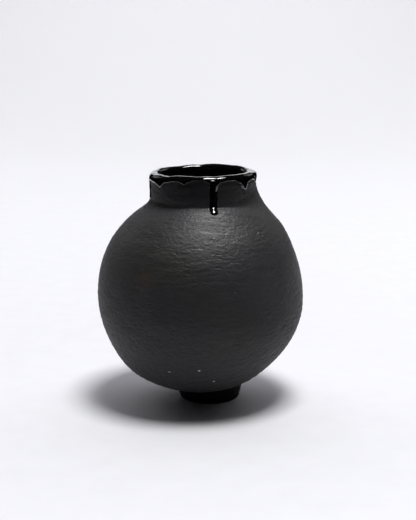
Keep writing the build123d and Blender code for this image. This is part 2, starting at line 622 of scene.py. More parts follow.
# ------------------------------------------------------------------ the jar's form
@dataclass(frozen=True)
class JarSizes:
    """Sizes and places read from the CAD frame, in millimetres."""

    body_radius: float
    body_centre: float
    hollow_radius: float
    neck_offset: float
    lip_radius: float
    lip_joint: float
    clay_top: float
    glazed_top: float

    @classmethod
    def from_frame(cls) -> "JarSizes":
        """Reads the boxes of the CAD nodes."""
        belly_low, belly_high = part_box("lower_belly_wall")
        base_low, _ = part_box("base_bowl")
        liner_low, liner_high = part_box("liner_glaze")
        lip_low, lip_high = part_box("lip_coil")
        _, rim_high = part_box("rim_glaze")
        body_radius = (belly_high.x - belly_low.x) / 2 / MM
        return cls(
            body_radius=body_radius,
            body_centre=base_low.z / MM + body_radius,
            hollow_radius=(liner_high.x - liner_low.x) / 2 / MM,
            neck_offset=(lip_high.x + lip_low.x) / 2 / MM,
            lip_radius=(lip_high.x - lip_low.x) / 2 / MM,
            lip_joint=lip_low.z / MM,
            clay_top=lip_high.z / MM,
            glazed_top=rim_high.z / MM,
        )


@dataclass(frozen=True)
class Swelling:
    """A place where the maker's hand left the ball fuller.

    Args:
        azimuth: centre, in degrees.
        latitude: centre, in degrees.
        azimuth_width: half width round the jar, in degrees.
        latitude_width: half width up and down, in degrees.
        height: how far it stands out, in millimetres.
    """

    azimuth: float
    latitude: float
    azimuth_width: float
    latitude_width: float
    height: float

    def at(self, azimuth: np.ndarray, latitude: np.ndarray) -> np.ndarray:
        """Height of the swelling at points of the ball."""
        fall = np.exp(-(((latitude - self.latitude) / self.latitude_width) ** 2))
        return self.height * hump(azimuth, self.azimuth, self.azimuth_width) * fall


@dataclass(frozen=True)
class Scar:
    """A pit or drag mark in the clay.

    Args:
        azimuth: centre, in degrees.
        latitude: centre, in degrees.
        length: half length round the jar, in millimetres.
        width: half width up and down, in millimetres.
        depth: depth, in millimetres.
        tilt: rise along its length.
    """

    azimuth: float
    latitude: float
    length: float
    width: float
    depth: float
    tilt: float = 0.0


@dataclass
class Skin:
    """The jar's clay surface as a grid of points.

    Args:
        points: array (rows, columns, 3) in millimetres.
        normals: unit normals that point out of the clay.
        grain: positions for patterns that follow the surface.
        bands: the rows of each ring, by name.
    """

    points: np.ndarray
    normals: np.ndarray
    grain: np.ndarray
    bands: dict[str, slice]


@dataclass
class JarForm:
    """Builds the jar's clay skin from the foot's ball to the inside of the neck.

    Args:
        sizes: sizes from the frame.
        base_joint: latitude of the lowest luting joint, in degrees.
        belly_joint: latitude of the middle joint.
        shoulder_joint: latitude of the upper joint.
        joint_bevel: how much higher a joint lies inside than outside, in degrees.
        neck_wall: thickness of the neck, in millimetres.
        neck_reach: height below the lip over which the neck widens to it.
        lip_flare: how far the lip stands out beyond the neck.
        lip_thickness: thickness of the lip.
        hand_sink: how far the mean surface lies inside the ball.
        fillet_reach: how far the neck's fillet reaches on to the shoulder: all round, and
            what the right, the left and the back add.
        fillet_rise: how far it rises up the neck, likewise.
        crease_depth: depth of the tool's line at the root of the neck.
        square_depth: how far the neck's corners stand out.
        square_top: depth below the rim at which the squarish plan begins.
        square_span: height over which it grows.
        swellings: fuller places of the ball.
        rim: azimuth and lift of the rim's high and low places, in turn.
        scars: marks that stand out.
        random_scars: number of other marks.
        seed: picks the relief.
    """

    sizes: JarSizes
    base_joint: float = -31.0
    belly_joint: float = 0.0
    shoulder_joint: float = 36.0
    joint_bevel: float = 2.5
    neck_wall: float = 6.2
    neck_reach: float = 18.0
    lip_flare: float = 0.7
    lip_thickness: float = 7.3
    hand_sink: float = 0.12
    fillet_reach: tuple[float, float, float, float] = (3.2, 21.0, 4.6, 3.0)
    fillet_rise: tuple[float, float, float, float] = (2.6, 14.0, 3.4, 2.0)
    crease_depth: float = 0.55
    square_depth: float = 0.42
    square_top: float = 24.0
    square_span: float = 20.0
    swellings: tuple[Swelling, ...] = (
        Swelling(35.0, 62.0, 62.0, 11.0, 4.8),
        Swelling(100.0, 44.0, 55.0, 17.0, 3.6),
        Swelling(-70.0, -46.0, 60.0, 14.0, 2.0),
        Swelling(88.0, -16.0, 45.0, 18.0, 1.6),
        Swelling(75.0, -42.0, 50.0, 9.0, -0.3),
        Swelling(-80.0, 30.0, 40.0, 9.0, 0.5),
        Swelling(175.0, 25.0, 45.0, 20.0, 0.9),
    )
    rim: tuple[tuple[float, float], ...] = (
        (-90.0, -2.0),
        (-45.0, -1.6),
        (-25.0, -0.4),
        (10.0, -0.7),
        (30.0, -0.1),
        (52.0, 0.0),
        (90.0, -0.8),
        (112.0, -1.3),
        (142.0, -0.5),
        (163.0, -0.1),
        (185.0, -0.9),
        (212.0, -1.6),
        (240.0, -1.5),
    )
    scars: tuple[Scar, ...] = (
        Scar(44.5, 41.5, 1.5, 0.7, 0.65, 0.5),
        Scar(46.5, 39.6, 1.1, 0.6, 0.60, -0.4),
        Scar(49.0, 41.3, 1.7, 0.6, 0.55, -0.3),
        Scar(51.0, 38.0, 1.0, 0.8, 0.55),
        Scar(45.5, 37.5, 1.3, 0.5, 0.40, 0.3),
        Scar(-14.0, -8.5, 0.8, 0.7, 0.50),
        Scar(2.0, -28.0, 4.5, 0.6, 0.40),
        Scar(-1.0, -22.0, 6.0, 0.5, 0.22, 0.05),
        Scar(-19.0, -34.0, 3.0, 0.6, 0.32),
        Scar(54.0, -30.0, 5.0, 0.8, 0.45, -0.12),
        Scar(60.0, -20.0, 2.2, 0.7, 0.38),
        Scar(-3.0, 17.0, 2.0, 0.5, 0.30),
    )
    random_scars: int = 420
    seed: int = 7
    azimuth: np.ndarray = field(init=False)
    noise: LatticeNoise = field(init=False)
    rng: np.random.Generator = field(init=False)

    def __post_init__(self) -> None:
        """Prepares the columns and the noise."""
        self.azimuth = np.arange(COLUMNS) * 360.0 / COLUMNS
        self.noise = LatticeNoise(self.seed)
        self.rng = np.random.default_rng(self.seed)

    @property
    def neck_radius(self) -> float:
        """Radius of the neck at its waist."""
        return self.sizes.lip_radius - self.lip_flare

    @property
    def bore_radius(self) -> float:
        """Inner radius of the neck."""
        return self.neck_radius - self.neck_wall

    @property
    def neck_low(self) -> float:
        """Height from which the neck widens to the lip."""
        return self.sizes.lip_joint - self.neck_reach

    def ball(self, radius: float | np.ndarray, latitude: np.ndarray) -> np.ndarray:
        """Points about the body's centre, on every column.

        Args:
            radius: distance from the centre, in millimetres.
            latitude: rows of latitudes in degrees; one for a row, or one for each column.

        Returns:
            Array (rows, columns, 3) in millimetres.
        """
        level = radius * np.cos(np.radians(latitude))
        points = outwards(self.azimuth) * level[..., None]
        points[..., 2] = self.sizes.body_centre + radius * np.sin(np.radians(latitude))
        return points

    def globe(self, latitude: np.ndarray) -> np.ndarray:
        """Points of the body with its swellings, on every column."""
        swell = sum(s.at(self.azimuth, latitude) for s in self.swellings)
        return self.ball(self.sizes.body_radius - self.hand_sink + swell, latitude)

    def rim_lift(self) -> np.ndarray:
        """How far the hand-pinched rim dips below its highest place, on every column."""
        where = np.array([place for place, _ in self.rim])
        lift = np.array([height for _, height in self.rim])
        where = np.append(where, where[0] + 360.0)
        lift = np.append(lift, lift[0])
        turned = (self.azimuth - where[0]) % 360.0 + where[0]
        index = np.clip(np.searchsorted(where, turned, "right") - 1, 0, len(where) - 2)
        share = smooth_step((turned - where[index]) / (where[index + 1] - where[index]))
        height = lift[index] + (lift[index + 1] - lift[index]) * share
        turn = np.radians(self.azimuth)
        height = height + 0.10 * np.sin(11.0 * turn + 1.0) + 0.07 * np.sin(17.0 * turn)
        return np.minimum(height, -0.03)

    def around_neck(self, radius: float | np.ndarray, z: float | np.ndarray) -> np.ndarray:
        """Points about the neck's axis, with the squarish plan and the rim's lift.

        Args:
            radius: plain distance from the neck's axis.
            z: plain heights.

        Returns:
            Points on every column, in millimetres.
        """
        azimuth = self.azimuth
        start = self.sizes.clay_top - self.square_top
        high = smooth_step((z - start) / self.square_span)
        turn = np.radians(azimuth)
        square = self.square_depth * np.cos(4.0 * (turn + math.radians(50.0))) + 0.15
        wander = 0.22 * np.sin(3.0 * turn + 0.7) + 0.12 * np.sin(8.0 * turn + 2.0)
        plan = radius + high * (square + wander)
        points = outwards(azimuth) * plan[..., None]
        points[..., 0] += self.sizes.neck_offset
        slant = -0.28 * hump(azimuth, -90.0, 40.0) * (radius - self.neck_radius + self.neck_wall / 2)
        points[..., 2] = z + high * (self.rim_lift() + slant)
        return points

    def neck_side(self, z: float | np.ndarray) -> float | np.ndarray:
        """Outer radius of the neck at a height."""
        share = np.clip((z - self.neck_low) / (self.sizes.lip_joint - self.neck_low), 0.0, 1.0)
        return self.neck_radius + self.lip_flare * share

    def root_fillet(self, steps: int) -> tuple[np.ndarray, np.ndarray, np.ndarray]:
        """The smoothed clay where the neck meets the shoulder.

        Args:
            steps: number of rows.

        Returns:
            The rows, the latitude at which each column leaves the body, and the height at
            which it reaches the neck.
        """
        az = self.azimuth
        right, left, back = hump(az, 97.0, 42.0), hump(az, -90.0, 35.0), hump(az, 180.0, 50.0)
        reach, rise = (
            plain + on_right * right + on_left * left + behind * back
            for plain, on_right, on_left, behind in (self.fillet_reach, self.fillet_rise)
        )
        neck = self.around_neck(self.neck_side(self.neck_low), self.neck_low)
        level = np.hypot(neck[:, 0], neck[:, 1])
        latitude = np.degrees(np.arccos(level / self.sizes.body_radius))
        for _ in range(4):
            away = level + reach * np.sin(np.radians(latitude))
            latitude = np.degrees(np.arccos(away / self.sizes.body_radius))
        start = self.globe(latitude)
        slope = np.cos(np.radians(latitude)) / np.sin(np.radians(latitude))
        corner_z = start[:, 2] + (np.hypot(start[:, 0], start[:, 1]) - level) * slope
        corner = neck.copy()
        corner[:, 2] = corner_z
        end_z = corner_z + rise
        end = self.around_neck(self.neck_side(end_z), end_z)
        t = np.linspace(0.0, 1.0, steps)[:, None, None]
        rows = (1 - t) ** 2 * start + 2 * t * (1 - t) * corner + t**2 * end
        return rows, latitude, end_z

    def clay_rows(self) -> tuple[np.ndarray, dict[str, slice]]:
        """All rows of the clay skin before any relief, and the rows of each ring."""
        lip_joint = self.sizes.lip_joint
        fillet, leave, reached = self.root_fillet(22)
        parts: list[np.ndarray] = []
        bands: dict[str, slice] = {}

        def add(name: str, rows: np.ndarray) -> None:
            """Adds a ring's rows; it starts on the last row that is there."""
            start = sum(len(p) for p in parts) - (1 if parts else 0)
            parts.append(rows if not parts else rows[1:])
            bands[name] = slice(start, start + len(rows))

        def ball_band(low: np.ndarray | float, high: np.ndarray | float, steps: int) -> np.ndarray:
            """Rows of the body between two latitudes."""
            t = np.linspace(0.0, 1.0, steps)[:, None]
            return self.globe(low + (high - low) * t)

        add("base_bowl", ball_band(-90.0, self.base_joint, 112))
        add("lower_belly_wall", ball_band(self.base_joint, self.belly_joint, 88))
        add("upper_belly_wall", ball_band(self.belly_joint, self.shoulder_joint, 102))
        add("shoulder_wall", ball_band(self.shoulder_joint, leave[None, :], 54))
        add("fillet", fillet)
        z = reached + (lip_joint - reached) * np.linspace(0.0, 1.0, 24)[:, None]
        add("neck_side", self.around_neck(self.neck_side(z), z))
        add("lip", self.lip_rows())
        z = lip_joint + (self.hollow_depth() - lip_joint) * np.linspace(0.0, 1.0, 14)[:, None]
        add("bore", self.around_neck(self.bore_radius, z))
        return np.concatenate(parts), bands

    def hollow_depth(self) -> np.ndarray:
        """Height at which the bore meets the inside of the body, on every column."""
        edge = outwards(self.azimuth) * self.bore_radius
        level = np.hypot(edge[..., 0] + self.sizes.neck_offset, edge[..., 1])
        return self.sizes.body_centre + np.sqrt(self.sizes.hollow_radius**2 - level**2)

    def lip_rows(self) -> np.ndarray:
        """Rows over the rounded lip, from the joint outside to the joint inside."""
        s = self.sizes
        round_radius = self.lip_thickness / 2
        middle = s.lip_radius - round_radius
        centre_z = s.clay_top - round_radius
        turn = np.linspace(0.0, math.pi, 27)
        side = np.linspace(0.0, 1.0, 6)[:-1]
        radius = np.concatenate(
            [
                np.full(5, s.lip_radius),
                middle + round_radius * squared(np.cos(turn)),
                (middle - round_radius) + (self.bore_radius - middle + round_radius) * (side + 0.2),
            ]
        )
        z = np.concatenate(
            [
                s.lip_joint + (centre_z - s.lip_joint) * side,
                centre_z + round_radius * squared(np.sin(turn)),
                centre_z + (s.lip_joint - centre_z) * (side + 0.2),
            ]
        )
        turn = np.radians(self.azimuth)
        thick = 1.0 + 0.05 * np.sin(5.0 * turn + 0.4) + 0.04 * np.sin(9.0 * turn)
        return self.around_neck(middle + (radius - middle)[:, None] * thick, z[:, None])

    def ripple(
        self, points: np.ndarray, height: float, cell: float | tuple[float, ...], shift: float = 0.0
    ) -> np.ndarray:
        """One layer of relief.

        Args:
            points: where it is read, in millimetres.
            height: its greatest height.
            cell: size of its cells, the same or one for each axis.
            shift: the part of the noise that it reads.

        Returns:
            Its height at each point.
        """
        return height * self.noise.at(points / np.array(cell) + shift)

    def relief(self, points: np.ndarray, arc: np.ndarray) -> np.ndarray:
        """Lumps, scrape marks and grit, in millimetres along the normal.

        Args:
            points: the smooth skin.
            arc: distance up the skin for each point.

        Returns:
            The height to add at each point.
        """
        lumps = self.ripple(points, 0.42, 47.0) + self.ripple(points, 0.20, 20.0, 11.0)
        drift = self.ripple(points, 5.0, 52.0, 5.0) + self.ripple(points, 1.6, 17.0, 3.0)
        way = np.stack([points[..., 0], points[..., 1], arc + drift], -1)
        ribs = self.ripple(way, 0.10, (46.0, 46.0, 7.5), 21.0)
        scrape = self.ripple(way, 0.060, (11.0, 11.0, 2.2))
        fine = self.ripple(way, 0.090, (5.0, 5.0, 1.3), 8.0)
        patch = 0.5 + self.ripple(points, 0.5, 30.0, 31.0)
        low = smooth_step((self.sizes.body_centre + 5.0 - points[..., 2]) / 45.0)
        side = 0.5 + 0.5 * points[..., 0] / self.sizes.body_radius
        leather = self.ripple(way, 0.17, (3.2, 3.2, 1.7), 13.0) * (0.40 + low * (0.6 + 0.6 * side))
        grit = self.ripple(points, 0.10, 1.6, 17.0) * (0.6 + patch + low)
        return lumps + ribs + scrape * (0.6 + 0.8 * patch) + fine + leather + grit

    def scar_relief(self, points: np.ndarray, rows: slice) -> np.ndarray:
        """Pits and drag marks on the body.

        Args:
            points: the smooth skin.
            rows: the rows that belong to the body.

        Returns:
            The height to add at each point of the whole skin.
        """
        height = np.zeros(points.shape[:2])
        body = points[rows] - np.array([0.0, 0.0, self.sizes.body_centre])
        level = np.hypot(body[..., 0], body[..., 1])
        latitude = np.degrees(np.arctan2(body[..., 2], level))
        mean_latitude = latitude.mean(axis=1)
        for scar in (*self.scars, *self.loose_scars()):
            tall = 3.0 * (scar.width + abs(scar.tilt) * scar.length)
            reach = math.degrees(tall / self.sizes.body_radius)
            near = np.nonzero(np.abs(mean_latitude - scar.latitude) < reach + 1.5)[0]
            if not len(near):
                continue
            ring = self.sizes.body_radius * math.cos(math.radians(scar.latitude))
            away = (self.azimuth - scar.azimuth + 180.0) % 360.0 - 180.0
            along = np.radians(away) * ring
            columns = np.nonzero(np.abs(along) < 3.0 * scar.length)[0]
            u = along[columns][None, :]
            v = np.radians(latitude[np.ix_(near, columns)] - scar.latitude) * self.sizes.body_radius
            v = v - scar.tilt * u
            dent = np.exp(-((u / scar.length) ** 4) - (v / scar.width) ** 2)
            lip = np.exp(-((u / scar.length) ** 4) - ((v + 2.0 * scar.width) / scar.width) ** 2)
            height[np.ix_(near + rows.start, columns)] += scar.depth * (0.25 * lip - dent)
        return height

    def loose_scars(self) -> list[Scar]:
        """Random pits and short drag marks all over the body."""
        found: list[Scar] = []
        for _ in range(self.random_scars):
            azimuth = self.rng.uniform(0.0, 360.0)
            latitude = math.degrees(math.asin(self.rng.uniform(-0.97, 0.80)))
            drag = self.rng.uniform() < 0.55
            length = self.rng.uniform(1.5, 5.5) if drag else self.rng.uniform(0.45, 1.0)
            width = self.rng.uniform(0.45, 0.7)
            depth = self.rng.uniform(0.08, 0.30)
            found.append(Scar(azimuth, latitude, length, width, depth, self.rng.uniform(-0.15, 0.15)))
        return found

    def build(self) -> Skin:
        """Builds the skin with its relief."""
        smooth, bands = self.clay_rows()
        step = np.linalg.norm(np.diff(smooth, axis=0), axis=-1)
        arc = np.concatenate([np.zeros((1, COLUMNS)), np.cumsum(step, axis=0)])
        normals = grid_normals(smooth)
        lift = self.relief(smooth, arc)
        body_rows = slice(0, bands["shoulder_wall"].stop)
        lift = lift + self.scar_relief(smooth, body_rows)
        lift = lift + self.crease_cut(bands["fillet"], len(smooth))
        row = np.arange(len(smooth))
        hidden = smooth_step((row - bands["lip"].start) / 8.0)[:, None]
        lift = lift * (1.0 - 0.75 * hidden)
        pole = smooth_step(row / 30.0)[:, None]
        lift = lift * pole
        points = smooth + normals * lift[..., None]
        limit = self.sizes.body_radius - 0.01
        points[..., :2] = np.clip(points[..., :2], -limit, limit)
        points[0] = points[0].mean(axis=0)
        normals = grid_normals(points)
        normals[0] = (0.0, 0.0, -1.0)
        grain = np.stack([smooth[..., 0], smooth[..., 1], arc], -1)
        return Skin(points, normals, grain, bands)

    def crease_cut(self, rows: slice, count: int) -> np.ndarray:
        """The sharp line left by the tool where the neck meets the shoulder."""
        cut = np.zeros((count, COLUMNS))
        t = np.linspace(0.0, 1.0, rows.stop - rows.start)[:, None]
        side = hump(self.azimuth, 15.0, 38.0) + 0.6 * hump(self.azimuth, -35.0, 22.0)
        side = side + 0.5 * hump(self.azimuth, 190.0, 60.0)
        cut[rows] = -self.crease_depth * np.exp(-(((t - 0.45) / 0.15) ** 2)) * side[None, :]
        return cut


# ------------------------------------------------------------------ clay pieces
@dataclass
class ClayBody:
    """The luted clay rings, from the base to the lip.

    Args:
        form: the jar's form.
        skin: its skin.
        material: the clay.
    """

    form: JarForm
    skin: Skin
    material: bpy.types.Material

    def inner_band(self, low: float, high: float, steps: int) -> np.ndarray:
        """Rows of the plain inside of the body, from high to low."""
        return self.form.ball(self.form.sizes.hollow_radius, np.linspace(high, low, steps)[:, None])

    def on_body(self, start: np.ndarray, radius: float, steps: int) -> np.ndarray:
        """Rows on the body's surface from a row inwards to the hole under the neck."""
        sizes = self.form.sizes
        edge = outwards(self.form.azimuth) * self.form.bore_radius
        edge[:, 0] += sizes.neck_offset
        t = np.linspace(0.0, 1.0, steps)[:, None, None]
        rows = (1 - t) * start[None] + t * edge[None]
        level = np.hypot(rows[..., 0], rows[..., 1])
        height = sizes.body_centre + np.sqrt(np.maximum(radius**2 - level**2, 0.0))
        rows[..., 2] = np.where(t[..., 0] == 0.0, start[None, :, 2], height)
        return rows

    def rows_of(self, name: str) -> slice:
        """Rows of the skin that belong to a piece."""
        bands = self.skin.bands
        if name == "neck_collar":
            return slice(bands["fillet"].start, bands["neck_side"].stop)
        if name == "lip_coil":
            return bands["lip"]
        return bands[name]

    def build(self) -> None:
        """Builds and dresses every ring."""
        form = self.form
        bevel = form.joint_bevel
        spans = {
            "base_bowl": (-90.0, form.base_joint + bevel),
            "lower_belly_wall": (form.base_joint + bevel, form.belly_joint + bevel),
            "upper_belly_wall": (form.belly_joint + bevel, form.shoulder_joint + bevel),
        }
        for name, (low, high) in spans.items():
            ends = Ends.POLES if name == "base_bowl" else Ends.LOOP
            self.add(name, self.inner_band(low, high, 18), ends)
        leave = self.skin.points[self.skin.bands["shoulder_wall"].stop - 1]
        under_neck = self.on_body(leave, form.sizes.body_radius - form.hand_sink, 6)
        hole = under_neck[-1].copy()
        hole[:, 2] = form.hollow_depth()
        top_latitude = np.degrees(
            np.arcsin((hole[:, 2] - form.sizes.body_centre) / form.sizes.hollow_radius)
        )
        t = np.linspace(0.0, 1.0, 10)[:, None]
        latitude = top_latitude + (form.shoulder_joint + bevel - top_latitude) * t
        inside = form.ball(form.sizes.hollow_radius, latitude)
        self.add("shoulder_wall", np.concatenate([under_neck[1:], hole[None], inside[1:]]), Ends.LOOP)
        bore_top = form.around_neck(form.bore_radius, form.sizes.lip_joint)
        down = np.linspace(0.0, 1.0, 8)[:, None, None]
        bore = (1 - down) * bore_top[None] + down * under_neck[-1][None]
        self.add("neck_collar", np.concatenate([bore, under_neck[::-1][1:-1]]), Ends.LOOP)
        self.add("lip_coil", np.zeros((0, COLUMNS, 3)), Ends.LOOP)

    def add(self, name: str, rest: np.ndarray, ends: Ends) -> None:
        """Builds one ring and ties it to the frame.

        Args:
            name: its CAD node.
            rest: rows that follow the skin's own and close the section.
            ends: how the first and last rows are closed.
        """
        rows = self.rows_of(name)
        outer = self.skin.points[rows]
        all_rows = np.concatenate([outer, rest])
        normals = grid_normals(all_rows)
        normals[: len(outer)] = self.skin.normals[rows]
        patterns = np.concatenate([self.skin.grain[rows], rest])
        piece = make_mesh("clay_" + name, all_rows, ends, normals, patterns)
        finish_piece(piece, self.material, Slot.CLAY, name)


@dataclass
class FootRing:
    """The small tapered foot, luted under the body and set to one side.

    Args:
        form: the jar's form.
        material: the clay.
        offset: distance of its axis from the body's, towards +X.
        top_radius: outer radius where it meets the body.
        bottom_radius: outer radius on the table.
        opening_radius: inner radius.
        edge: rounding of the edges on the table.
        sink: how far its top is pressed into the body.
    """

    form: JarForm
    material: bpy.types.Material
    offset: float = 8.6
    top_radius: float = 30.2
    bottom_radius: float = 26.5
    opening_radius: float = 18.5
    edge: float = 2.0
    sink: float = 1.2

    def profile(self) -> tuple[np.ndarray, np.ndarray]:
        """Radii and height shares round the section; a share of 1 is at the body."""
        turn = np.linspace(0.0, math.pi / 2, 7)
        outer_edge = self.bottom_radius - self.edge + self.edge * np.sin(turn)
        outer_height = self.edge * (1.0 - np.cos(turn))
        inner_edge = self.opening_radius + self.edge * (1.0 - np.cos(turn[::-1]))
        inner_height = self.edge * (1.0 - np.sin(turn[::-1]))
        return np.concatenate([inner_edge, outer_edge]), np.concatenate([inner_height, outer_height])

    def build(self) -> None:
        """Builds and dresses the foot."""
        form = self.form
        radius, height = self.profile()
        bottom = self.rows_at(radius[:, None], height[:, None])
        t = np.linspace(0.0, 1.0, 26)[1:, None]
        wall_radius = self.bottom_radius + (self.top_radius - self.bottom_radius) * t
        top = self.body_height(self.top_radius)
        wall = self.rows_at(wall_radius, self.edge + (top - self.edge) * t)
        t = np.linspace(0.0, 1.0, 8)[1:, None]
        cap_radius = self.top_radius + (self.opening_radius - self.top_radius) * t
        cap = self.rows_at(cap_radius, self.body_height(cap_radius))
        inner_top = self.body_height(self.opening_radius)
        t = np.linspace(1.0, 0.0, 8)[1:-1, None]
        inner = self.rows_at(np.full_like(t, self.opening_radius), self.edge + (inner_top - self.edge) * t)
        rows = np.concatenate([bottom, wall, cap, inner])
        lift = form.ripple(rows, 0.22, 9.0, 40.0) + form.ripple(rows, 0.10, 3.0, 4.0)
        touching = smooth_step(rows[..., 2] / 2.0)
        rows = rows + loop_normals(rows) * (lift * touching)[..., None]
        rows[..., 2] = np.maximum(rows[..., 2], 0.0)
        low, high = (Vector(c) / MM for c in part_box("foot_ring"))
        rows[..., 0] = np.clip(rows[..., 0], low.x - 0.3, high.x + 0.3)
        piece = make_mesh("clay_foot_ring", rows, Ends.LOOP, loop_normals(rows), rows)
        finish_piece(piece, self.material, Slot.CLAY, "foot_ring")

    def body_height(self, radius: float | np.ndarray) -> np.ndarray:
        """Height just inside the body's underside, above circles about the foot's axis."""
        edge = outwards(self.form.azimuth) * np.asarray(radius)[..., None]
        level = np.hypot(edge[..., 0] + self.offset, edge[..., 1])
        ball = self.form.sizes.body_radius - self.sink
        return self.form.sizes.body_centre - np.sqrt(ball**2 - level**2)

    def rows_at(self, radius: np.ndarray, height: np.ndarray) -> np.ndarray:
        """Rows of points about the foot's axis."""
        points = outwards(self.form.azimuth) * radius[..., None]
        points[..., 0] += self.offset
        points[..., 2] = height
        return points


# ------------------------------------------------------------------ glaze pieces
@dataclass
class NeckSurface:
    """Reads the clay skin of the neck and lip by azimuth and distance.

    Args:
        skin: the jar's skin.

    Distances run along the surface from the crest of the lip: negative outside, positive
    inside the neck.
    """

    skin: Skin
    points: np.ndarray = field(init=False)
    normals: np.ndarray = field(init=False)
    arc: np.ndarray = field(init=False)
    crest: np.ndarray = field(init=False)
    end: np.ndarray = field(init=False)

    def __post_init__(self) -> None:
        """Measures every column from its crest."""
        bands = self.skin.bands
        rows = slice(bands["shoulder_wall"].start, len(self.skin.points))
        self.points = self.skin.points[rows]
        self.normals = self.skin.normals[rows]
        step = np.linalg.norm(np.diff(self.points, axis=0), axis=-1)
        arc = np.concatenate([np.zeros((1, COLUMNS)), np.cumsum(step, axis=0)])
        crest = np.argmax(self.points[..., 2], axis=0)
        columns = np.arange(COLUMNS)
        self.arc = arc - arc[crest, columns]
        self.crest = crest
        self.end = self.arc[-1]

    def distance_at(self, z: np.ndarray) -> np.ndarray:
        """Distance from the crest, outside, at which each column has a height."""
        found = np.empty(COLUMNS)
        for j in range(COLUMNS):
            top = self.crest[j] + 1
            rising = np.maximum.accumulate(self.points[:top, j, 2])
            found[j] = np.interp(z[j], rising, self.arc[:top, j])
        return found

    def along_columns(self, distance: np.ndarray) -> tuple[np.ndarray, np.ndarray]:
        """Points and normals on every column.

        Args:
            distance: array (rows, columns) of distances from the crest.

        Returns:
            Points and unit normals, each (rows, columns, 3).
        """
        points = np.empty((*distance.shape, 3))
        normals = np.empty_like(points)
        for j in range(COLUMNS):
            for k in range(3):
                points[:, j, k] = np.interp(distance[:, j], self.arc[:, j], self.points[:, j, k])
                normals[:, j, k] = np.interp(distance[:, j], self.arc[:, j], self.normals[:, j, k])
        normals /= np.linalg.norm(normals, axis=-1, keepdims=True)
        return points, normals

    def spot(self, azimuth: float, distance: float) -> tuple[np.ndarray, np.ndarray]:
        """Point and normal at one azimuth and distance."""
        place = azimuth % 360.0 * COLUMNS / 360.0
        first = int(place) % COLUMNS
        share = place - int(place)
        found = np.zeros((2, 3))
        for column, weight in ((first, 1.0 - share), ((first + 1) % COLUMNS, share)):
            arc = self.arc[:, column]
            for kind, grid in enumerate((self.points, self.normals)):
                for k in range(3):
                    found[kind, k] += weight * np.interp(distance, arc, grid[:, column, k])
        point, normal = found
        return point, normal / np.linalg.norm(normal)


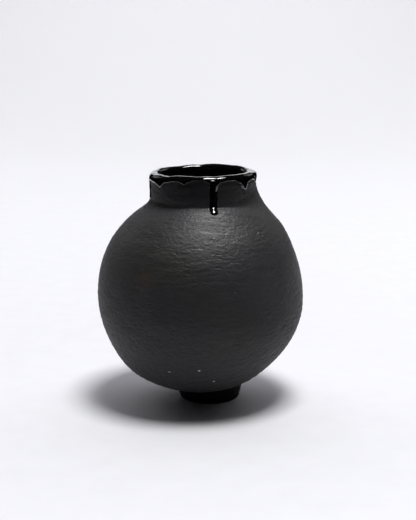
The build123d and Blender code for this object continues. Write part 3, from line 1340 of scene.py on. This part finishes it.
@dataclass
class RimGlaze:
    """The coat over the lip, scalloped outside and carried down inside the neck.

    Args:
        form: the jar's form.
        surface: the neck's surface.
        material: the glaze.
        edge: azimuth and drop below the rim of each low and high point of the lower edge,
            in turn, in degrees and millimetres.
        meniscus: width over which the edge rounds up to full thickness.
        run_azimuth: where the long run leaves the band, in degrees.
        near_edge: distances of the rows that round the edge.
        edge_kernel: weights that soften the edge's corners.
    """

    form: JarForm
    surface: NeckSurface
    material: bpy.types.Material
    edge: tuple[tuple[float, float], ...] = (
        (-85.0, 11.6),
        (-72.0, 8.4),
        (-50.0, 12.3),
        (-30.0, 6.1),
        (-19.5, 8.1),
        (-3.0, 4.1),
        (10.6, 10.5),
        (28.0, 4.9),
        (48.0, 11.6),
        (62.0, 6.4),
        (76.0, 10.5),
        (92.0, 5.6),
        (108.0, 12.0),
        (124.0, 4.8),
        (143.0, 9.4),
        (160.0, 5.2),
        (178.0, 12.6),
        (196.0, 5.6),
        (212.0, 9.8),
        (230.0, 4.6),
        (249.0, 11.6),
        (262.0, 6.6),
    )
    meniscus: float = 0.75
    run_azimuth: float = 10.7
    near_edge: tuple[float, ...] = (0.0, 0.03, 0.10, 0.22, 0.4, 0.62, 0.9, 1.2, 1.6, 2.1, 2.8)
    edge_kernel: tuple[float, ...] = (1.0, 2.0, 3.0, 2.0, 1.0)

    def edge_height(self) -> np.ndarray:
        """Height of the band's lower edge at every column: round arches between points."""
        azimuth = np.array([e[0] for e in self.edge])
        drop = np.array([e[1] for e in self.edge])
        order = np.argsort(azimuth % 360.0)
        azimuth, drop = (azimuth % 360.0)[order], drop[order]
        azimuth = np.concatenate([azimuth[-1:] - 360.0, azimuth, azimuth[:1] + 360.0])
        drop = np.concatenate([drop[-1:], drop, drop[:1]])
        after = np.searchsorted(azimuth, self.form.azimuth, "right")
        index = np.clip(after - 1, 0, len(azimuth) - 2)
        share = (self.form.azimuth - azimuth[index]) / (azimuth[index + 1] - azimuth[index])
        first, second = drop[index], drop[index + 1]
        from_low = np.where(first > second, share, 1.0 - share)
        bend = np.sin(math.pi / 2 * from_low**0.85)
        low, high = np.maximum(first, second), np.minimum(first, second)
        drop_here = low + (high - low) * bend
        kernel = np.array(self.edge_kernel) / sum(self.edge_kernel)
        padded = np.concatenate([drop_here[-2:], drop_here, drop_here[:2]])
        drop_here = np.convolve(padded, kernel, "valid")
        turn = np.radians(self.form.azimuth)
        wobble = 0.22 * np.sin(23.0 * turn) + 0.15 * np.sin(41.0 * turn + 1.3)
        return self.form.sizes.glazed_top - drop_here + wobble

    def thickness(self, from_edge: np.ndarray, distance: np.ndarray, points: np.ndarray) -> np.ndarray:
        """Thickness of the coat.

        Args:
            from_edge: distance from the lower edge.
            distance: distance from the crest.
            points: where it lies.

        Returns:
            Thickness in millimetres.
        """
        coat = self.form.sizes.glazed_top - self.form.sizes.clay_top
        crest = np.exp(-((distance / 3.2) ** 2))
        body = coat * (1.0 - 0.30 * crest) + self.form.ripple(points, 0.10, 6.5, 2.0)
        body = body + self.form.ripple(points, 0.09, 3.1, 5.0)
        pooled = 0.12 * np.exp(-(((from_edge - 1.5) / 1.4) ** 2))
        azimuth = self.form.azimuth
        wide = 1.0 + 1.3 * hump(azimuth, -62.0, 32.0) - 0.6 * hump(azimuth, 52.0, 18.0)
        share = np.clip(from_edge / (self.meniscus * wide), 0.0, 1.0)
        covered = hump(azimuth, self.run_azimuth, 4.2) * np.exp(-((from_edge / 5.0) ** 2))
        return (body + pooled) * (1.0 - (1.0 - share) ** 2) * (1.0 - 0.75 * covered)

    def build(self) -> None:
        """Builds and dresses the coat."""
        start = self.surface.distance_at(self.edge_height())
        end = self.surface.end - 0.2
        first = start[None] + np.array(self.near_edge)[:, None]
        t = np.linspace(0.0, 1.0, 54)[1:, None]
        rest = first[-1:] + (end[None] - first[-1:]) * t
        distance = np.concatenate([first, rest])
        points, normals = self.surface.along_columns(distance)
        thick = self.thickness(distance - start[None], distance, points)
        outer = points + normals * thick[..., None]
        top = self.form.sizes.glazed_top - 0.01
        outer[..., 2] = np.minimum(outer[..., 2], top)
        under = (points - normals * 0.04)[::-1][::2]
        rows = np.concatenate([outer, under])
        piece = make_mesh("glaze_rim", rows, Ends.LOOP, grid_normals(rows))
        finish_piece(piece, self.material, Slot.GLAZE, "rim_glaze")


@dataclass
class GlazeRun:
    """One run of glaze that left the band and went down the neck.

    Args:
        name: the CAD node that it replaces.
        azimuth: where it runs, in degrees.
        top_drop: where it leaves the lip, below the rim.
        length: its length along the surface.
        half_width: half its width.
        bead: its thickness.
        tip_bead: thickness of the drop at its end.
        flare: extra half width where it leaves the band.
        sway: how far it wanders sideways.
        sway_length: how far it goes for one radian of the sway.
        evening: how often its face is evened.
        rows: rows of its mesh.
        columns: columns of its face.
        bed_rows: rows of the strip that its face follows.
        bed_columns: columns of that strip.
    """

    name: str
    azimuth: float
    top_drop: float
    length: float
    half_width: float
    bead: float
    tip_bead: float
    flare: float
    sway: float = 0.25
    sway_length: float = 7.0
    evening: int = 30
    rows: int = 70
    columns: int = 29
    bed_rows: int = 81
    bed_columns: int = 13

    def build(self, form: JarForm, surface: NeckSurface, material: bpy.types.Material) -> None:
        """Builds and dresses the run.

        Args:
            form: the jar's form.
            surface: the neck's surface.
            material: the glaze.
        """
        column = int(self.azimuth % 360.0 * COLUMNS / 360.0)
        heights = np.full(COLUMNS, form.sizes.glazed_top - self.top_drop)
        start = surface.distance_at(heights)[column]
        reach = self.half_width * 1.15 + self.flare
        bed, normals = self.bed(surface, start, reach)
        across = np.sin(np.linspace(-math.pi / 2, math.pi / 2, self.columns))
        rows = []
        for share in np.sin(np.linspace(0.0, math.pi / 2, self.rows))[:-1]:
            went = share * self.length
            left = self.length - went
            width = self.half_width_at(went, left)
            rise = self.thickness_at(went, left)
            bend = self.sway * math.sin(went / self.sway_length)
            row = share * (len(bed) - 1)
            top, under = [], []
            for u in across:
                column_at = (u * width / reach + 1.0) / 2.0 * (bed.shape[1] - 1)
                point, normal = between(bed, row, column_at), between(normals, row, column_at)
                normal /= np.linalg.norm(normal)
                top.append(point + normal * rise * (1.0 - u * u))
                on_clay, out = self.place(surface, start - went, u * width + bend)
                under.append(on_clay - out * 0.06)
            rows.append(np.array(top + under[::-1]))
        loops = np.array(rows)[::-1]
        first = np.broadcast_to(loops[0].mean(axis=0), loops[0].shape)[None]
        last = np.broadcast_to(loops[-1].mean(axis=0), loops[0].shape)[None]
        piece = make_mesh("glaze_" + self.name, np.concatenate([first, loops, last]), Ends.POLES)
        finish_piece(piece, material, Slot.GLAZE, self.name)

    def bed(self, surface: NeckSurface, start: float, reach: float) -> tuple[np.ndarray, np.ndarray]:
        """The strip that the run's face follows, evened so that it bridges the crease.

        Args:
            surface: the neck's surface.
            start: distance from the crest at which the run starts.
            reach: half the strip's width.

        Returns:
            Rows of points and of normals.
        """
        across = np.linspace(-reach, reach, self.bed_columns)
        strip = []
        for went in np.linspace(0.0, self.length, self.bed_rows):
            bend = self.sway * math.sin(went / self.sway_length)
            spots = [self.place(surface, start - went, x + bend) for x in across]
            strip.append([np.concatenate(spot) for spot in spots])
        evened = np.array(strip)
        for _ in range(self.evening):
            evened[1:-1] += 0.25 * (evened[:-2] + evened[2:] - 2.0 * evened[1:-1])
        return evened[..., :3], evened[..., 3:]

    def place(self, surface: NeckSurface, distance: float, aside: float) -> tuple[np.ndarray, np.ndarray]:
        """Point and normal beside the run's plumb middle plane.

        Args:
            surface: the neck's surface.
            distance: distance from the crest.
            aside: distance from the middle plane, in millimetres.

        Returns:
            The point and its unit normal.
        """
        middle = self.azimuth
        level = np.array([math.cos(math.radians(middle)), math.sin(math.radians(middle))])
        origin, _ = surface.spot(middle, -3.0)
        azimuth = middle
        for _ in range(4):
            point, normal = surface.spot(azimuth, distance)
            miss = aside - float((point[:2] - origin[:2]) @ level)
            azimuth += math.degrees(miss / math.hypot(point[0], point[1]))
        return surface.spot(azimuth, distance)

    def half_width_at(self, went: float, left: float) -> float:
        """Half width at a distance from the start and from the tip."""
        flare = self.flare * math.exp(-((went / 5.5) ** 2))
        tip = min(left / self.half_width, 1.0)
        swollen = 1.0 + 0.10 * math.exp(-(((left - self.half_width) / 3.0) ** 2))
        return (self.half_width * swollen + flare) * math.sqrt(max(1.0 - (1.0 - tip) ** 2, 1e-4))

    def thickness_at(self, went: float, left: float) -> float:
        """Thickness at a distance from the start and from the tip."""
        drop = math.exp(-(((left - self.half_width * 0.9) / 3.0) ** 2))
        tip = min(left / (self.half_width * 0.8), 1.0)
        rise = self.bead + (self.tip_bead - self.bead) * drop
        start = 0.75 + 0.25 * min(went / 4.0, 1.0)
        return rise * start * math.sqrt(max(1.0 - (1.0 - tip) ** 2, 1e-4))


# ------------------------------------------------------------------ grog
@dataclass
class GrogGrains:
    """Pale grains in the clay's surface, strewn with Geometry Nodes.

    Args:
        skin: the jar's skin.
        form: the jar's form.
        material: the grog.
        stained: grog that the dark clay half covers.
        density: loose grains for each square metre.
        smallest: least half size, in millimetres.
        largest: greatest half size of a loose grain.
        widened: length of a loose grain for its half size.
        flattened: thickness of a loose grain for its half size.
        seed: picks their places.
        chosen: azimuth, latitude, half length and half width of the grains that stand out.
    """

    skin: Skin
    form: JarForm
    material: bpy.types.Material
    stained: bpy.types.Material
    density: float = 650.0
    smallest: float = 0.12
    largest: float = 0.30
    widened: float = 1.35
    flattened: float = 0.45
    seed: int = 11
    chosen: tuple[tuple[float, float, float, float], ...] = (
        (-0.6, -34.6, 1.05, 0.85),
        (10.9, -45.6, 0.85, 0.80),
        (-20.6, -37.0, 1.70, 0.40),
    )

    def carrier(self) -> bpy.types.Object:
        """A thin copy of the body's skin that the grains are strewn on."""
        rows = slice(20, self.skin.bands["shoulder_wall"].stop)
        points = self.skin.points[rows][::3, ::3]
        count, columns = points.shape[:2]
        index = np.arange(count * columns).reshape(count, columns)
        mesh = bpy.data.meshes.new("grog_carrier")
        mesh.from_pydata((points.reshape(-1, 3) * MM).tolist(), [], ring_faces(index))
        return add_object("grog_carrier", mesh)

    def tree(self) -> bpy.types.NodeTree:
        """Node tree that strews flattened grains over faces."""
        tree = bpy.data.node_groups.new("strew_grog", "GeometryNodeTree")
        face = tree.interface
        face.new_socket("Surface", in_out="INPUT", socket_type="NodeSocketGeometry")
        for name in ("Density", "Smallest", "Largest"):
            face.new_socket(name, in_out="INPUT", socket_type="NodeSocketFloat")
        face.new_socket("Seed", in_out="INPUT", socket_type="NodeSocketInt")
        face.new_socket("Grains", in_out="OUTPUT", socket_type="NodeSocketGeometry")
        g = Graph(tree)
        given = g.node("NodeGroupInput").outputs
        strew = g.node(
            "GeometryNodeDistributePointsOnFaces",
            Mesh=given["Surface"],
            Density=given["Density"],
            Seed=given["Seed"],
        )
        grain = g.node("GeometryNodeMeshIcoSphere", Radius=1.0, Subdivisions=2)
        size = g.node("FunctionNodeRandomValue", Seed=given["Seed"])
        size.data_type = "FLOAT"
        g.join(given["Smallest"], size.inputs[2])
        g.join(given["Largest"], size.inputs[3])
        half = size.outputs[1]
        flat = g.node(
            "ShaderNodeCombineXYZ",
            X=g.math("MULTIPLY", half, self.widened),
            Y=half,
            Z=g.math("MULTIPLY", half, self.flattened),
        )
        place = g.node(
            "GeometryNodeInstanceOnPoints",
            Points=strew.outputs["Points"],
            Instance=grain.outputs["Mesh"],
            Rotation=strew.outputs["Rotation"],
            Scale=flat.outputs["Vector"],
        )
        real = g.node("GeometryNodeRealizeInstances", Geometry=place.outputs["Instances"])
        dress = g.node("GeometryNodeSetMaterial", Geometry=real.outputs["Geometry"], Material=self.stained)
        g.node("NodeGroupOutput", Grains=dress.outputs["Geometry"])
        return tree

    def build(self) -> None:
        """Strews the loose grains and sets the chosen ones."""
        carrier = self.carrier()
        tree = self.tree()
        strewing = carrier.modifiers.new("strewing", "NODES")
        strewing.node_group = tree
        values = {
            "Density": self.density,
            "Smallest": self.smallest * MM,
            "Largest": self.largest * MM,
            "Seed": self.seed,
        }
        for item in tree.interface.items_tree:
            if item.item_type == "SOCKET" and item.name in values:
                strewing[item.identifier] = values[item.name]
        bpy.context.view_layer.update()
        evaluated = carrier.evaluated_get(bpy.context.evaluated_depsgraph_get())
        mesh = bpy.data.meshes.new_from_object(evaluated)
        carrier.modifiers.remove(strewing)
        bpy.data.objects.remove(carrier)
        mesh.name = "grog_grains"
        finish_piece(add_object("grog_grains", mesh), self.stained, Slot.CLAY)
        for number, (azimuth, latitude, length, width) in enumerate(self.chosen, 1):
            self.set_grain(f"grog_grain_{number}", azimuth, latitude, length, width)

    def set_grain(self, name: str, azimuth: float, latitude: float, length: float, width: float) -> None:
        """Sets one grain that stands out.

        Args:
            name: its name.
            azimuth: its place round the jar.
            latitude: its place up the ball.
            length: half length in millimetres.
            width: half width in millimetres.
        """
        body = self.skin.points[: self.skin.bands["shoulder_wall"].stop]
        column = int(round(azimuth % 360.0 * COLUMNS / 360.0)) % COLUMNS
        away = body[:, column] - np.array([0.0, 0.0, self.form.sizes.body_centre])
        here = np.degrees(np.arctan2(away[:, 2], np.hypot(away[:, 0], away[:, 1])))
        row = int(np.argmin(np.abs(here - latitude)))
        centre, normal = self.skin.points[row, column], self.skin.normals[row, column]
        across = np.cross((0.0, 0.0, 1.0), normal)
        across /= np.linalg.norm(across)
        up = np.cross(normal, across)
        turns = np.linspace(0.0, 2.0 * math.pi, 18, endpoint=False)
        rows = []
        for tilt in np.linspace(-math.pi / 2, math.pi / 2, 9):
            level, height = math.cos(tilt), math.sin(tilt)
            ring = [
                centre
                + across * (length * level * math.cos(a))
                + up * (width * level * math.sin(a))
                + normal * (0.40 * width * height)
                for a in turns
            ]
            rows.append(ring)
        rows = np.array(rows)
        rough = 1.0 + 0.35 * self.form.noise.at(rows * 1.7 + 9.0)
        rows = centre + (rows - centre) * rough[..., None]
        rows[0], rows[-1] = rows[0].mean(axis=0), rows[-1].mean(axis=0)
        finish_piece(make_mesh(name, rows, Ends.POLES), self.material, Slot.CLAY)


# ------------------------------------------------------------------ studio
@dataclass(frozen=True)
class Studio:
    """Pale sweep, overhead softbox and camera.

    Args:
        camera_back: distance of the camera in front of the jar's axis, in metres.
        camera_height: its height.
        pitch: how far it looks down, in degrees.
        yaw: how far it looks towards +X, in degrees.
        lens: focal length in millimetres, for the sensor's 36 mm on the long side.
        softbox_size: side of the overhead softbox, in metres.
        softbox_place: its centre.
        softbox_power: its power in watts.
        panel_size: side of the two side panels.
        panel_place: centre of the right one.
        panel_power: power of each.
        softbox_aim: height on the jar's axis that the softbox faces.
        panel_aim: height that the panels face.
        sweep_half_width: half the sweep's width.
        sweep_front: where the sweep starts, in front of the axis.
        sweep_back: where it stands upright, behind the axis.
        sweep_bend: radius of its curve.
        sweep_top: height of its upper edge.
        room_power: strength of the room's light behind the jar.
        room_rest: strength of the rest of the room.
        backdrop_power: strength of the backdrop that the camera sees.
    """

    camera_back: float = 1.0
    camera_height: float = 0.335
    pitch: float = 11.916
    yaw: float = 0.4152
    lens: float = 80.5
    softbox_size: float = 0.90
    softbox_place: tuple[float, float, float] = (0.36, -0.22, 2.8)
    softbox_power: float = 70.0
    panel_size: float = 0.80
    panel_place: tuple[float, float, float] = (1.15, 1.15, 0.95)
    panel_power: float = 0.9
    softbox_aim: float = 0.10
    panel_aim: float = 0.15
    sweep_half_width: float = 0.62
    sweep_front: float = -0.36
    sweep_back: float = 2.2
    sweep_bend: float = 0.6
    sweep_top: float = 1.0
    room_power: float = 1.15
    room_rest: float = 0.006
    backdrop_power: float = 0.95

    def camera(self) -> None:
        """Adds the camera."""
        data = bpy.data.cameras.new("camera")
        data.lens = self.lens
        data.sensor_width = 36.0
        data.clip_end = 50.0
        camera = add_object("camera", data)
        down, turn = math.radians(self.pitch), math.radians(self.yaw)
        look = Vector(
            (math.sin(turn) * math.cos(down), math.cos(turn) * math.cos(down), -math.sin(down))
        )
        camera.location = (0.0, -self.camera_back, self.camera_height)
        camera.rotation_mode = "QUATERNION"
        camera.rotation_quaternion = look.to_track_quat("-Z", "Y")
        bpy.context.scene.camera = camera

    def area_light(
        self, name: str, size: float, power: float, place: tuple[float, float, float], aim: float
    ) -> None:
        """Adds a square light that faces the jar's axis.

        Args:
            name: its name.
            size: its side in metres.
            power: its power in watts.
            place: its centre.
            aim: the height that it faces.
        """
        data = bpy.data.lights.new(name, "AREA")
        data.shape = "SQUARE"
        data.size = size
        data.energy = power
        light = add_object(name, data)
        light.location = place
        way = Vector((0.0, 0.0, aim)) - light.location
        light.rotation_mode = "QUATERNION"
        light.rotation_quaternion = way.to_track_quat("-Z", "Y")

    def lights(self) -> None:
        """Adds the overhead softbox and a weak panel behind the jar on each side."""
        self.area_light(
            "softbox", self.softbox_size, self.softbox_power, self.softbox_place, self.softbox_aim
        )
        x, y, z = self.panel_place
        for side in (-x, x):
            self.area_light("side_panel", self.panel_size, self.panel_power, (side, y, z), self.panel_aim)

    def sweep_material(self) -> bpy.types.Material:
        """Pale paper that glows a little away from the jar, as an evenly lit sweep does."""
        r = Recipe("pale_sweep")
        place = r.node("ShaderNodeSeparateXYZ", Vector=r.place())
        x = r.math("MULTIPLY", place.outputs["X"], place.outputs["X"])
        y = r.math("MULTIPLY", place.outputs["Y"], place.outputs["Y"])
        away = r.math("SQRT", r.math("ADD", x, y), 0.0)
        fibre = r.noise(r.place(), 40.0, 2.0)
        r.feed(
            Base_Color=r.blend(r.remap(fibre, 0.3, 0.7), (0.80, 0.80, 0.83), (0.82, 0.82, 0.85)),
            Roughness=0.9,
            Specular_IOR_Level=0.1,
            Emission_Color=(0.97, 0.97, 1.0, 1.0),
            Emission_Strength=r.remap(away, 0.24, 2.2, 0.0, 0.40),
        )
        return r.material

    def sweep(self) -> None:
        """Adds the floor that curves up into the backdrop."""
        bend, back = self.sweep_bend, self.sweep_back
        turn = np.linspace(0.0, math.pi / 2, 24)
        y = np.concatenate([[self.sweep_front], back - bend + bend * np.sin(turn), [back]])
        z = np.concatenate([[0.0], bend * (1.0 - np.cos(turn)), [self.sweep_top]])
        sides = (-self.sweep_half_width, self.sweep_half_width)
        points = [(x, float(a), float(b)) for a, b in zip(y, z) for x in sides]
        faces = [(2 * i, 2 * i + 1, 2 * i + 3, 2 * i + 2) for i in range(len(y) - 1)]
        mesh = bpy.data.meshes.new("sweep")
        mesh.from_pydata(points, [], faces)
        mesh.polygons.foreach_set("use_smooth", [True] * len(mesh.polygons))
        floor = add_object("sweep", mesh)
        floor.data.materials.append(self.sweep_material())

    def world(self) -> None:
        """Adds a soft room: bright behind the jar, dim on the camera's side."""
        world = bpy.data.worlds.new("room")
        bpy.context.scene.world = world
        world.use_nodes = True
        world.cycles_visibility.glossy = False
        g = Graph(world.node_tree)
        way = g.node("ShaderNodeTexCoord").outputs["Generated"]
        split = g.node("ShaderNodeSeparateXYZ", Vector=way).outputs
        behind = g.remap(split["Y"], 0.0, 0.5, 0.0, self.room_power)
        above = g.remap(split["Z"], 0.25, 0.55)
        power = g.math("ADD", g.math("MULTIPLY", behind, above), self.room_rest)
        lit = g.node("ShaderNodeBackground", Color=(0.95, 0.95, 1.0, 1.0), Strength=power)
        seen = g.node(
            "ShaderNodeBackground", Color=(0.90, 0.90, 0.93, 1.0), Strength=self.backdrop_power
        )
        mix = g.node("ShaderNodeMixShader", Fac=g.node("ShaderNodeLightPath").outputs["Is Camera Ray"])
        g.join(lit.outputs["Background"], mix.inputs[1])
        g.join(seen.outputs["Background"], mix.inputs[2])
        g.node("ShaderNodeOutputWorld", Surface=mix.outputs["Shader"])

    def build(self) -> None:
        """Builds the whole studio."""
        bpy.context.scene.view_settings.view_transform = "Standard"
        self.sweep()
        self.lights()
        self.world()
        self.camera()


def main() -> None:
    """Builds the jar, its glaze and grog, and the studio."""
    logging.basicConfig(level=logging.INFO, format="%(name)s: %(message)s")
    clay = ScrapedClay().build()
    glaze = GlossGlaze().build()
    grog = PaleGrog().build()
    stained_grog = PaleGrog("stained_grog", (0.30, 0.28, 0.23), (0.10, 0.095, 0.080)).build()
    form = JarForm(JarSizes.from_frame())
    skin = form.build()
    ClayBody(form, skin, clay).build()
    FootRing(form, clay).build()
    surface = NeckSurface(skin)
    RimGlaze(form, surface, glaze).build()
    runs = (
        GlazeRun("front_glaze_run", 10.7, 3.6, 32.0, 3.25, 1.05, 1.12, 1.6),
        GlazeRun("left_glaze_run", -79.0, 8.0, 17.0, 2.3, 0.8, 1.0, 1.2),
        GlazeRun("right_glaze_run", 49.0, 6.5, 7.2, 2.4, 0.9, 1.0, 3.0),
    )
    for run in runs:
        run.build(form, surface, glaze)
    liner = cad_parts["liner_glaze"]
    for holder in liner.material_slots:
        holder.material = glaze
    GrogGrains(skin, form, grog, stained_grog).build()
    Studio().build()


if __name__ == "__main__":
    main()
